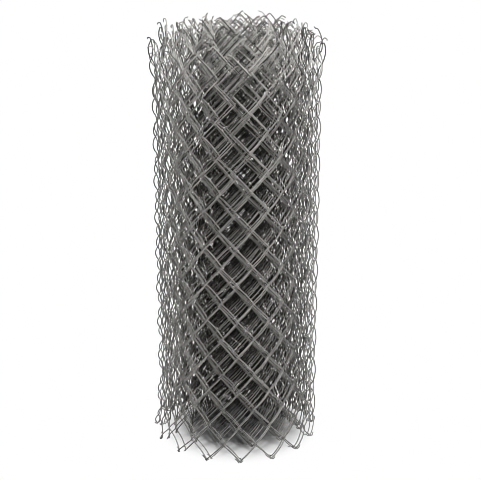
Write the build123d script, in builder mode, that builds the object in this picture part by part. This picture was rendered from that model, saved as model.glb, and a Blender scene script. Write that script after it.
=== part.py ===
from build123d import *
import math
import os

# A roll of galvanised chain link fabric standing on end, in millimetres.
# +Z is up, the roll's middle is at the origin and its foot stands on z = 0.
# The photographed side faces -Y.

# The fabric
roll_height = 1000.0        # selvage to selvage
rows_high = 22              # half diamonds up the roll
picket_step = 39.8          # from one picket to the next in the flat fabric, half a diamond's width
wire_diameter = 3.0
hook_clearance = 0.2        # between two wires where they hook
layer_clearance = 1.5       # between the front and the back wires of the weave
knuckle_tail = 10.0         # how far a closed end lies beside its neighbour's wire
wire_sides = 3              # the wire is drawn as a bar of few sides

# The roll
outer_diameter = 410.0
turn_clearance = 2.5        # between one turn of the roll and the next
core_diameter = 112.0       # the open middle, between the innermost wires
inward_pickets = 11         # drawn between the outer turn and the core turn
inner_rise = 45.0           # how far the inner fabric has crept up out of the outer turn

# The wire's section has the area of the round wire
bar_radius = wire_diameter * math.sqrt(math.pi / (2 * wire_sides * math.sin(2 * math.pi / wire_sides)))
bar_flat = bar_radius * math.cos(math.pi / wire_sides)

# The flattened spiral of one picket
layer_offset = bar_radius + layer_clearance / 2
weave_depth = 2 * (layer_offset + bar_radius)
row_height = (roll_height - bar_flat - bar_radius) / rows_high
wire_spacing = 2 * bar_radius + hook_clearance
hook_overlap = wire_spacing / math.sin(math.atan2(row_height, picket_step + wire_spacing))
picket_width = picket_step + hook_overlap
arm_slope = row_height / picket_width

# The run of the fabric
turn_pitch = weave_depth + turn_clearance
outer_radius = (outer_diameter - weave_depth) / 2
core_radius = (core_diameter + weave_depth) / 2


def bend(row):
    """The two corners of the wire where it turns from one layer to the other."""
    side = -1 if row % 2 == 0 else 1
    height = bar_flat + row * row_height
    return [
        (side * picket_width / 2, -side * layer_offset, height),
        (side * picket_width / 2, side * layer_offset, height),
    ]


def wire_route():
    """The wire from its closed lower end to its closed upper end."""
    corners = [corner for row in range(rows_high + 1) for corner in bend(row)]
    first_x, first_y, first_z = corners[0]
    last_x, last_y, last_z = corners[-1]
    rise = knuckle_tail * arm_slope
    lower_end = (first_x - knuckle_tail, first_y, first_z + rise)
    upper_end = (last_x + math.copysign(knuckle_tail, last_x), last_y, last_z - rise)
    return [lower_end] + corners + [upper_end]


def section_plane(route):
    """The plane at the wire's start that brings a flat of the bar underneath at the lowest bend."""
    tail = (Vector(*route[1]) - Vector(*route[0])).normalized()
    cross = (Vector(*route[2]) - Vector(*route[1])).normalized()
    upward = Vector(0, 0, 1) - (tail + cross) * tail.Z
    return Plane(origin=route[0], x_dir=upward, z_dir=tail)


def step_at(radius):
    """The distance between hooks where the fabric is rolled, which draws its outer wires together."""
    return picket_step / (1 + layer_offset / radius)


def rise_at(index):
    """How far a picket has crept up. The climb begins at the back of the outer turn."""
    way = (index - climb_start) / (len(radii) - 2 - climb_start)
    return inner_rise * min(max(way, 0), 1)


def reach_at(index):
    """The distance between a picket's two hooks. A climb slackens the outer wires and takes up the slack
    that rolling gives the inner ones, and the hooks stand as far apart as both allow."""
    step = step_at(radii[index + 1])
    slack = 2 * layer_offset * step / radii[index + 1]
    climb = max(rise_at(index + 1) - rise_at(index), rise_at(index) - rise_at(index - 1)) / arm_slope
    return step + min(climb, slack - climb)


def radius_at(hook):
    """The radius of each hook from the outer end of the fabric to its inner end."""
    if hook <= outer_pickets:
        return outer_radius - turn_pitch * hook / outer_pickets
    turn_end = outer_radius - turn_pitch
    way = min((hook - outer_pickets) / inward_pickets, 1)
    return turn_end + (core_radius - turn_end) * (1 - math.cos(math.pi * way)) / 2


def hook_points():
    """The hooks as seen from above, with one at the front."""
    angles = [0.0]
    for index, (near, far) in enumerate(zip(radii, radii[1:])):
        cosine = (near**2 + far**2 - reach_at(index) ** 2) / (2 * near * far)
        angles.append(angles[-1] + math.acos(cosine))
    turned = -math.pi / 2 - angles[front_hook]
    return [
        Vector(radius * math.cos(angle + turned), radius * math.sin(angle + turned))
        for radius, angle in zip(radii, angles)
    ]


def picket_name(index):
    if index < outer_pickets:
        return f"outer_picket_{index + 1:02d}"
    index -= outer_pickets
    if index < inward_pickets:
        return f"inward_picket_{index + 1:02d}"
    return f"core_picket_{index - inward_pickets + 1:02d}"


outer_pickets = 2 * round(math.pi * outer_radius / step_at(outer_radius))
core_pickets = int(2 * math.pi * core_radius / step_at(core_radius)) - 3
front_hook = outer_pickets // 2
climb_start = 3 * outer_pickets // 4
radii = [radius_at(hook) for hook in range(outer_pickets + inward_pickets + core_pickets + 1)]

# One picket, the wire that every place in the fabric repeats
route = wire_route()
with BuildPart() as picket:
    with BuildLine() as wire_line:
        Polyline(*route)
    with BuildSketch(section_plane(route)):
        RegularPolygon(bar_radius, wire_sides)
    sweep(path=wire_line.line, transition=Transition.RIGHT)

# Each picket lies between two hooks, and every second one is turned half round
hooks = hook_points()
pickets = []
for index, (start, end) in enumerate(zip(hooks, hooks[1:])):
    along = (end - start).normalized()
    facing = along if index % 2 == 0 else -along
    middle = (start + end) / 2
    place = Plane(origin=(middle.X, middle.Y, rise_at(index)), x_dir=facing, z_dir=(0, 0, 1))
    piece = picket.part.moved(place.location)
    piece.label = picket_name(index)
    pickets.append(piece)

# The roll stands on its middle
box = Compound(pickets).bounding_box()
centred = Location((-box.center().X, -box.center().Y, 0))
os.makedirs("parts", exist_ok=True)
for piece in pickets:
    placed = piece.moved(centred)
    placed.label = piece.label
    export_step(placed, f"parts/{placed.label}.step")
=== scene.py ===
import math
import random

import bpy
from mathutils import Matrix, Vector


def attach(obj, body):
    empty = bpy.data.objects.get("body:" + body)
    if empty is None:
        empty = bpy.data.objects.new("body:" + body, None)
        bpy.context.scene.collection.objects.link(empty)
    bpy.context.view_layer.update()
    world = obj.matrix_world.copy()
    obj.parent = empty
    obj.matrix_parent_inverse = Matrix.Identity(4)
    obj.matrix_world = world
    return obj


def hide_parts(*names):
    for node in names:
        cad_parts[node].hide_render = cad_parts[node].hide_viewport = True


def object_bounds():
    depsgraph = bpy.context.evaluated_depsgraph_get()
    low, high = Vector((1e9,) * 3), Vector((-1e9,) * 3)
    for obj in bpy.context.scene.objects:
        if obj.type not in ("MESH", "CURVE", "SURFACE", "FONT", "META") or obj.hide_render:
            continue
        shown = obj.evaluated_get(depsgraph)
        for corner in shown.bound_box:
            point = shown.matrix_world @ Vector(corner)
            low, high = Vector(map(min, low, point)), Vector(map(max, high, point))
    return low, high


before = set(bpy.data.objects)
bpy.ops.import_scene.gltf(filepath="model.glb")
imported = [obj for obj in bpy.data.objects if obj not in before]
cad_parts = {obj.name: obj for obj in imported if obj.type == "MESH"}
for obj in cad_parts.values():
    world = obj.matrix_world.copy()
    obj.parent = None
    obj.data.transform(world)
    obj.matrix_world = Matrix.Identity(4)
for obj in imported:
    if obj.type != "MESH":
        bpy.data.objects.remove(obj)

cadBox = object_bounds()
rollRadius = (cadBox[1][1] - cadBox[0][1]) / 2
random.seed(11)


def deselectAll():
    for item in bpy.context.selected_objects:
        item.select_set(False)


# The camera stands where the photographer stood
photo = {
    "width": 481,               # pixels
    "focalPixels": 1158.0,
    "sensor": 36.0,
    "place": (0.0070, -2.746, 1.440),
    "pitchDown": 18.69,         # degrees
}


def makeCamera():
    bpy.ops.object.camera_add(
        location=photo["place"],
        rotation=(math.radians(90 - photo["pitchDown"]), 0, 0),
    )
    camera = bpy.context.object
    camera.name = "photoCamera"
    camera.data.sensor_width = photo["sensor"]
    camera.data.lens = photo["focalPixels"] / photo["width"] * photo["sensor"]
    bpy.context.scene.camera = camera
    deselectAll()


makeCamera()
print("camera placed")


# Shader maths: a socket that takes part in Python expressions
class Link:
    def __init__(self, paint, socket):
        self.paint = paint
        self.socket = socket

    def combine(self, operation, first, second):
        return self.paint.node("ShaderNodeMath", {"operation": operation}, {0: first, 1: second})

    def __add__(self, other):
        return self.combine("ADD", self, other)

    __radd__ = __add__

    def __sub__(self, other):
        return self.combine("SUBTRACT", self, other)

    def __rsub__(self, other):
        return self.combine("SUBTRACT", other, self)

    def __mul__(self, other):
        return self.combine("MULTIPLY", self, other)

    __rmul__ = __mul__


# The nodes of a material, or of the world
class Paint:
    def __init__(self, owner):
        owner.use_nodes = True
        self.tree = owner.node_tree
        self.tree.nodes.clear()

    def node(self, kind, settings=None, inputs=None, output=0):
        made = self.tree.nodes.new(kind)
        for key, value in (settings or {}).items():
            if key == "stops":
                self.setStops(made.color_ramp, value)
            else:
                setattr(made, key, value)
        for key, value in (inputs or {}).items():
            if isinstance(value, Link):
                self.tree.links.new(value.socket, made.inputs[key])
            else:
                made.inputs[key].default_value = value
        if not made.outputs:
            return None
        return Link(self, made.outputs[output])

    def setStops(self, ramp, stops):
        # A new ramp has two stops, as many as are asked for here
        for stop, (place, colour) in zip(ramp.elements, stops):
            stop.position = place
            stop.color = colour

    def mix(self, factor, first, second):
        # The Mix node's colour sockets have no names of their own
        return self.node("ShaderNodeMix", {"data_type": "RGBA"}, {0: factor, 6: first, 7: second}, output=2)

    def seenDirectly(self):
        # 1 for what is seen by itself, in a gloss or through glass, and 0 for what only gives light
        seen = self.node("ShaderNodeLightPath", output="Is Camera Ray")
        for ray in ("Is Glossy Ray", "Is Transmission Ray"):
            seen = seen.combine("MAXIMUM", seen, self.node("ShaderNodeLightPath", output=ray))
        return seen


black = (0, 0, 0, 1)
white = (1, 1, 1, 1)

# Galvanised wire
zinc = {
    # the lightest zinc colour, also reached by the painted light near the top of the roll
    "freshAndLit": (0.54, 0.53, 0.508, 1),
    # the darkest zinc colour: dull zinc, and the painted shade of the turns deep in the roll
    "dullAndShaded": (0.035, 0.034, 0.032, 1),
    "dark": (0.03, 0.029, 0.027, 1),
    "weather": {"Scale": 11.0, "Detail": 3.0},      # broad patches of weathering, about 90 mm
    "patches": {"Scale": 90.0, "Detail": 4.0},      # mottling along a wire
    "spangle": {"Scale": 420.0},                    # the zinc's crystals
    "grime": {"Scale": 160.0, "Detail": 5.0},
    "pits": {"Scale": 900.0, "Detail": 3.0},
    "weatherShare": 0.3,        # how much each of these brightens the zinc
    "patchShare": 0.4,
    "spangleShare": 0.2,
    "toneWithPaintedLightShare": 0.7,
    "shade": 0.45,              # and how much it's darker than their sum
    "grimeFrom": 0.56,          # where the grime's noise passes this, grime begins
    "grimeTo": 0.70,
    "grimeShare": 0.6,
    "roughness": 0.34,
    "patchRoughness": 0.22,
    "grimeRoughness": 0.2,
    "spangleRelief": 0.5,       # beside the pits
    "reliefStrength": 0.25,
    "reliefDepth": 0.0004,
    "metallic": 0.03,
    "gloss": 0.12,
    "leastFresh": 0.35,         # the outer turn's wires have tones from this to 1
    "paintedShadeTurns": 12,       # painted shade: inwards the tones fade to 0, the darkest zinc colour, over this many turns
    "topLightFrom": 0.84,            # painted light: above this share of the height each turn's tones spread again, lighter
    "topLightSpread": 2.2,           # this many times as widely as outside, from 0 up
}


def zincMaterial():
    material = bpy.data.materials.new("galvanisedWire")
    paint = Paint(material)
    place = paint.node("ShaderNodeTexCoord", output="Object")
    # the wires' random tones, darkened by painted shade inwards through the roll and lightened by painted
    # light near its top
    toneWithPaintedLight = paint.node("ShaderNodeAttribute", {"attribute_name": "wireToneWithPaintedLight"}, output="Fac")
    weather, patches, grime, pits = (
        paint.node("ShaderNodeTexNoise", None, {"Vector": place, **zinc[noise]})
        for noise in ("weather", "patches", "grime", "pits")
    )
    spangle = paint.node("ShaderNodeTexVoronoi", None, {"Vector": place, **zinc["spangle"]})

    brightness = weather * zinc["weatherShare"] + patches * zinc["patchShare"]
    brightness = brightness + spangle * zinc["spangleShare"] + toneWithPaintedLight * zinc["toneWithPaintedLightShare"] - zinc["shade"]
    grimeStops = [(zinc["grimeFrom"], black), (zinc["grimeTo"], white)]
    grimeMask = paint.node("ShaderNodeValToRGB", {"stops": grimeStops}, {0: grime})
    clean = paint.mix(brightness, zinc["dullAndShaded"], zinc["freshAndLit"])
    colour = paint.mix(grimeMask * zinc["grimeShare"], clean, zinc["dark"])
    rough = zinc["roughness"] + patches * zinc["patchRoughness"] + grimeMask * zinc["grimeRoughness"]
    relief = paint.node(
        "ShaderNodeBump",
        None,
        {
            "Height": pits + spangle * zinc["spangleRelief"],
            "Strength": zinc["reliefStrength"],
            "Distance": zinc["reliefDepth"],
        },
    )
    shader = paint.node(
        "ShaderNodeBsdfPrincipled",
        None,
        {
            "Base Color": colour,
            "Roughness": rough,
            "Normal": relief,
            "Metallic": zinc["metallic"],
            "Specular IOR Level": zinc["gloss"],
        },
    )
    paint.node("ShaderNodeOutputMaterial", None, {"Surface": shader})
    return material


wireMaterial = zincMaterial()
print("wire material made")


# The fabric: zigzag wires, each hooked to the next
fabric = {
    "wireDiameter": 0.0028,
    "height": 0.9992,           # from edge to edge, with the wire's thickness
    "rowsHigh": 22,             # half diamonds up the fabric
    "step": 0.0392,             # from one wire's middle to the next
    "lap": 0.0039,              # how far two bends reach past each other
    "foot": 0.0015,             # middle of the wire at its lowest bends
    "floorGap": 0.000075,       # no wire goes below this height
    "tail": 0.0105,             # sideways length of a closed end
    "roundness": 0.75,          # how squarely a wire bows between its bends
}

# The wires' ends are closed in three ways: with this share of the tail's length,
# and at the top with this share of its neighbour's slope
knuckles = [
    {"length": 0.75, "slope": 1.0},
    {"length": 0.9, "slope": 0.4},
    {"length": 0.6, "slope": -0.4},
]

# A closed end from its tip to the bend: its share of the tail's length, and of the wire's bow
closing = [(1.0, 1.0), (0.45, 1.0), (0.1, 0.7)]

# The roll, from its outer turn inwards. It has crept up out of its outer turn
roll = {
    "looseness": 0.0040,        # the used roll has sprung open by this much
    "looseTurns": 12,
    "loosePitch": 0.0092,
    "tightTurns": 11,
    "tightPitch": 0.0045,       # towards the core the turns are wound tighter
    "outerBow": 0.0060,         # how far the outer turns' wires stand out
    "packedBow": 0.0050,        # the same where the turns press on each other
    "coreBow": 0.0030,
    "outerWires": 16,           # wires from the fabric's end at the back to the front
    "endWires": 2,              # wires that the fabric stops short of its last full turn
    "drifts": (0.0031, -0.0110, -0.0079, -0.0043),  # how far round the diamonds lie from turn to turn
    "driftSpread": 0.0008,      # and unevenly so
    "climbTurn": 1,             # in this turn the fabric climbs by nearly a row, and gains half a diamond
    "rises": (0.0, 0.0059, 0.0420, 0.0473),         # how far each turn has crept up at the front
    "creep": 0.0008,            # further rise of each loose turn inwards
    "twist": (0.019, -0.082),   # the diamonds' turn round the roll at its foot, and its change to the top
    "jitter": 0.0013,           # unevenness from wire to wire
    "lean": 0.0026,             # how far a wire leans, in a metre
}

# How the used roll departs from an even one. Outside means the outer turn, fading out by the next
wear = {
    "outsideTurns": 1.2,
    "sway": 0.0009,             # slow unevenness of the fabric
    "swayInwards": 0.5,         # its share that draws all the fabric in
    "swayFrom": 0.05,           # it grows from this radius
    "swayOver": 0.1,            # over this distance
    "swayRates": (1.7, 7.3),    # waves in a turn
    "swayTwists": (-9, 9),      # how far the waves turn on their way up
    "edgeRates": (2.5, 13),
    "waves": 6,
    "flare": 0.009,             # how far the outer turn leans out at its top
    "flareFrom": 0.88,
    "edgeWave": 0.0440,         # rise and fall of the fabric's upper edge
    "edgeDrop": 0.0130,         # how far the edge is pressed down on the whole
    "edgeRise": 0.0200,         # the outer turn's upper edge stands this much higher
    "footSag": 0.0170,          # how far the feet of the turns inside it have sunk again
    "splay": 0.0080,            # how far the outer turn's foot is pushed out
    "splaySides": (0.7, -0.7, -0.8),  # its even share, and its shares towards the right and the back
    "splayTo": 0.16,
}

# How finely the wires are divided, by how near they are to the outside
bands = [
    {
        "turns": 2, "bow": roll["outerBow"], "bevel": 1,
        "stations": (0.0, 0.04, 0.11, 0.3, 0.5, 0.7, 0.89, 0.96),
    },
    {"turns": 10, "bow": roll["packedBow"], "bevel": 1, "stations": (0.0, 0.06, 0.25, 0.5, 0.75, 0.94)},
    {"turns": 99, "bow": roll["coreBow"], "bevel": 0, "stations": (0.0, 0.08, 0.3, 0.7, 0.92)},
]

rowHeight = (fabric["height"] - 2 * fabric["foot"]) / fabric["rowsHigh"]
wireWidth = fabric["step"] + fabric["lap"]
outerRadius = rollRadius - roll["outerBow"] - fabric["wireDiameter"] / 2 + roll["looseness"]
turnCount = roll["looseTurns"] + roll["tightTurns"]


def wirePoints(bow, stations, knuckle):
    # From the closed lower end up the zigzag to the closed upper end
    def along(row, share):
        side = 1 if row % 2 == 0 else -1
        x = side * wireWidth * (share - 0.5)
        y = -side * bow * math.sin(math.pi * share) ** fabric["roundness"]
        return Vector((x, y, fabric["foot"] + (row + share) * rowHeight))

    tail = fabric["tail"] * knuckle["length"]
    rise = tail * rowHeight / wireWidth
    points = [
        Vector((-wireWidth / 2 - tail * share, bow * lean, fabric["foot"] + rise * share))
        for share, lean in closing
    ]
    for row in range(fabric["rowsHigh"]):
        points += [along(row, share) for share in stations]
    top = along(fabric["rowsHigh"] - 1, 1.0)
    points.append(top)
    side = math.copysign(1, top.x)
    points += [
        Vector((top.x + side * tail * share, side * bow * lean, top.z - rise * knuckle["slope"] * share))
        for share, lean in reversed(closing)
    ]
    return points


def makeWire(name, band, knuckle):
    points = wirePoints(band["bow"], band["stations"], knuckle)
    deselectAll()
    bpy.ops.curve.primitive_nurbs_path_add()
    wire = bpy.context.object
    wire.name = name
    wire.data.splines.clear()
    spline = wire.data.splines.new("POLY")
    spline.points.add(len(points) - 1)
    for point, place in zip(spline.points, points):
        point.co = (*place, 1)
    wire.data.bevel_depth = fabric["wireDiameter"] / 2
    wire.data.bevel_resolution = band["bevel"]
    wire.data.use_fill_caps = True
    bpy.ops.object.convert(target="MESH")
    bpy.ops.object.shade_smooth()
    return bpy.context.object


def radiusAt(around):
    # The fabric's radius, some turns inwards from the front of the outer turn
    loose = min(around, roll["looseTurns"])
    return outerRadius - roll["loosePitch"] * loose - roll["tightPitch"] * (around - loose)


def frontHooks():
    # The count of hooks passed at the front of each turn. Every turn has a whole
    # number of diamonds but for the drift, so the turns line up at the front
    counts = [float(roll["outerWires"])]
    lastDrift = len(roll["drifts"]) - 1
    for turn in range(turnCount):
        drift = roll["drifts"][min(turn, lastDrift)] + random.uniform(-1, 1) * roll["driftSpread"]
        drift /= fabric["step"]
        diamonds = round((2 * math.pi * radiusAt(turn + 0.5) / fabric["step"] + drift) / 2)
        half = 1 if turn == roll["climbTurn"] else 0
        counts.append(counts[-1] + 2 * diamonds + half - drift)
    return counts


def hookPlace(hook, counts):
    # How many turns a hook is from the front of the outer turn, and its place seen from above
    turn = 0
    while turn < len(counts) - 2 and hook >= counts[turn + 1]:
        turn += 1
    around = turn + (hook - counts[turn]) / (counts[turn + 1] - counts[turn])
    radius = radiusAt(around)
    angle = 2 * math.pi * around - math.pi / 2
    return around, Vector((radius * math.cos(angle), radius * math.sin(angle), 0))


def smooth(share):
    share = min(max(share, 0), 1)
    return share * share * (3 - 2 * share)


def riseAt(around):
    # How far the fabric has crept up
    rises = roll["rises"]
    last = len(rises) - 1
    if around >= last:
        return rises[last] + roll["creep"] * (min(around, roll["looseTurns"]) - last)
    turn = max(int(around), 0)
    return rises[turn] + (rises[turn + 1] - rises[turn]) * smooth(around - turn)


fullTurn = 2 * math.pi
swayWaves = [
    (random.uniform(*wear["swayRates"]), random.uniform(0, fullTurn), random.uniform(*wear["swayTwists"]))
    for wave in range(wear["waves"])
]
edgeWaves = [
    (random.uniform(*wear["edgeRates"]), random.uniform(0, fullTurn)) for wave in range(wear["waves"])
]


def swayAt(around, height):
    waves = (
        math.sin(fullTurn * rate * around + phase + twist * height) for rate, phase, twist in swayWaves
    )
    return sum(waves) / wear["waves"]


def edgeAt(around):
    return sum(math.sin(fullTurn * rate * around + phase) for rate, phase in edgeWaves) / wear["waves"]


def settle(place, around):
    # A point of the wound fabric, moved to where the used roll has it
    share = place.z / fabric["height"]
    outside = smooth(wear["outsideTurns"] - abs(around))
    radius = math.hypot(place.x, place.y)
    angle = math.atan2(place.y, place.x) + roll["twist"][0] + roll["twist"][1] * share

    swayGrown = smooth((radius - wear["swayFrom"]) / wear["swayOver"])
    radius += wear["sway"] * swayGrown * (swayAt(around, place.z) - wear["swayInwards"])
    radius += wear["flare"] * outside * smooth((share - wear["flareFrom"]) / (1 - wear["flareFrom"]))
    even, right, back = wear["splaySides"]
    splay = wear["splay"] * (even + right * math.cos(angle) + back * math.sin(angle))
    radius += splay * outside * smooth(1 - share / wear["splayTo"])

    # The higher the power, the nearer to its edge a change stays
    height = place.z + riseAt(around) + wear["edgeRise"] * outside * share**2
    height += (wear["edgeWave"] * edgeAt(around) - wear["edgeDrop"]) * share**3
    height -= wear["footSag"] * (1 - outside) * (1 - share) ** 4
    return radius * math.cos(angle), radius * math.sin(angle), max(height, fabric["floorGap"])


def placeWire(pattern, start, end, around, turned, toneWithPaintedLight, paintedTopLight):
    # A copy of the wire between two hooks, stretched to reach both
    along = (end - start).normalized() * (-1 if turned else 1)
    across = Vector((-along.y, along.x, 0))
    stretch = ((end - start).length + fabric["lap"]) / wireWidth
    middle = (start + end) / 2
    middle += across * random.uniform(-1, 1) * roll["jitter"]
    middle.z += random.uniform(0, 1) * roll["jitter"]
    lean = random.uniform(-1, 1) * roll["lean"]
    matrix = Matrix((
        (along.x * stretch, across.x, along.x * lean, middle.x),
        (along.y * stretch, across.y, along.y * lean, middle.y),
        (0, 0, 1, middle.z),
        (0, 0, 0, 1),
    ))
    copy = pattern.copy()
    copy.data = pattern.data.copy()
    copy.data.transform(matrix)
    for vertex in copy.data.vertices:
        vertex.co = settle(vertex.co, around)

    # painted light: towards the top of the fabric the tone moves to the lighter top tone
    topLightFrom = zinc["topLightFrom"]
    tonesWithPaintedLight = [
        toneWithPaintedLight + (paintedTopLight - toneWithPaintedLight) * smooth((vertex.co.z / fabric["height"] - topLightFrom) / (1 - topLightFrom))
        for vertex in copy.data.vertices
    ]
    attribute = copy.data.attributes.new("wireToneWithPaintedLight", "FLOAT", "POINT")
    attribute.data.foreach_set("value", tonesWithPaintedLight)
    bpy.context.collection.objects.link(copy)
    return copy


def makePatterns():
    # One wire for each fineness and each way to close its ends
    return [
        [makeWire(f"pattern{number}{variant}", band, knuckle) for variant, knuckle in enumerate(knuckles)]
        for number, band in enumerate(bands)
    ]


def joinTurn(name, wires):
    deselectAll()
    for wire in wires:
        wire.select_set(True)
    bpy.context.view_layer.objects.active = wires[0]
    bpy.ops.object.join()
    piece = bpy.context.object
    piece.name = name
    piece.data.materials.append(wireMaterial)
    return piece


def makeRoll():
    counts = frontHooks()
    patterns = makePatterns()
    turns = {}
    for hook in range(int(counts[-1]) - roll["endWires"]):
        around, start = hookPlace(hook, counts)
        end = hookPlace(hook + 1, counts)[1]
        turn = max(0, int(around + 0.5))  # the pieces are parted at the back of the roll
        variants = next(made for made, band in zip(patterns, bands) if turn < band["turns"])
        pattern = variants[random.randrange(len(knuckles))]
        freshness = random.uniform(zinc["leastFresh"], 1)
        # painted shade: the random tones fade to the darkest zinc colour inwards through the roll
        toneWithPaintedLight = freshness * (1 - smooth(around / zinc["paintedShadeTurns"]))
        # painted light: near the top the tones spread again from 0 up, lighting the inner turns
        paintedTopLight = (freshness - zinc["leastFresh"]) * zinc["topLightSpread"]
        wire = placeWire(pattern, start, end, around, hook % 2 == 1, toneWithPaintedLight, paintedTopLight)
        turns.setdefault(turn, []).append(wire)
    for variants in patterns:
        for pattern in variants:
            bpy.data.objects.remove(pattern)
    pieces = [joinTurn(f"turn{turn + 1:02d}", wires) for turn, wires in sorted(turns.items())]
    deselectAll()
    return pieces


turnPieces = makeRoll()
print("roll made:", len(turnPieces), "turns,", sum(len(piece.data.polygons) for piece in turnPieces), "faces")

outerNodes = [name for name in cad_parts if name.startswith("outer")]
inwardNodes = [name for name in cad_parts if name.startswith("inward")]
coreNodes = [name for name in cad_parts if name.startswith("core")]
for piece in turnPieces:
    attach(piece, "root")
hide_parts(*outerNodes)
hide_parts(*inwardNodes)
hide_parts(*coreNodes)


# The studio: a white floor that keeps the roll's shadow, a white room and soft lamps
studio = {
    "floorSize": 14.0,
    "floorColour": (0.55, 0.55, 0.55, 1),
    "plainFrom": 0.10,          # this far from the middle the floor begins to look plain white
    "plainTo": 0.22,
    "roomLight": 0.02,
    "sharpness": 0.6,           # width of the picture's filter in pixels
}
lamps = [
    {"name": "keyLamp", "place": (-0.1, -2.6, 3.1), "size": 0.4, "power": 126},
    {"name": "fillLamp", "place": (2.3, -1.8, 1.9), "size": 0.4, "power": 11},
    {"name": "topLamp", "place": (0.3, 0.5, 3.2), "size": 0.6, "power": 52},
]


def makeFloor():
    bpy.ops.mesh.primitive_plane_add(size=studio["floorSize"])
    floor = bpy.context.object
    floor.name = "studioFloor"
    material = bpy.data.materials.new("studioFloorPaint")
    paint = Paint(material)
    place = paint.node("ShaderNodeTexCoord", output="Object")
    away = paint.node("ShaderNodeVectorMath", {"operation": "LENGTH"}, {0: place}, output="Value")
    plain = paint.node(
        "ShaderNodeMapRange",
        {"interpolation_type": "SMOOTHSTEP"},
        {"Value": away, "From Min": studio["plainFrom"], "From Max": studio["plainTo"]},
    )
    matt = paint.node("ShaderNodeBsdfDiffuse", None, {"Color": studio["floorColour"]})
    glow = paint.node("ShaderNodeEmission", None, {"Color": white, "Strength": 1.0})
    both = paint.node("ShaderNodeMixShader", None, {0: paint.seenDirectly() * plain, 1: matt, 2: glow})
    paint.node("ShaderNodeOutputMaterial", None, {"Surface": both})
    floor.data.materials.append(material)
    deselectAll()


def makeRoom():
    world = bpy.data.worlds.new("studioRoom")
    bpy.context.scene.world = world
    paint = Paint(world)
    dim = paint.node("ShaderNodeBackground", None, {"Color": white, "Strength": studio["roomLight"]})
    bright = paint.node("ShaderNodeBackground", None, {"Color": white, "Strength": 1.0})
    both = paint.node("ShaderNodeMixShader", None, {0: paint.seenDirectly(), 1: dim, 2: bright})
    paint.node("ShaderNodeOutputWorld", None, {"Surface": both})


def makeLamps():
    for settings in lamps:
        bpy.ops.object.light_add(type="AREA", location=settings["place"])
        lamp = bpy.context.object
        lamp.name = settings["name"]
        lamp.data.size = settings["size"]
        lamp.data.energy = settings["power"]
        towards = Vector((0, 0, fabric["height"] / 2)) - Vector(settings["place"])
        lamp.rotation_euler = towards.to_track_quat("-Z", "Y").to_euler()
    deselectAll()


makeFloor()
makeRoom()
makeLamps()
bpy.context.scene.view_settings.view_transform = "Standard"
bpy.context.scene.cycles.filter_width = studio["sharpness"]
print("studio made")
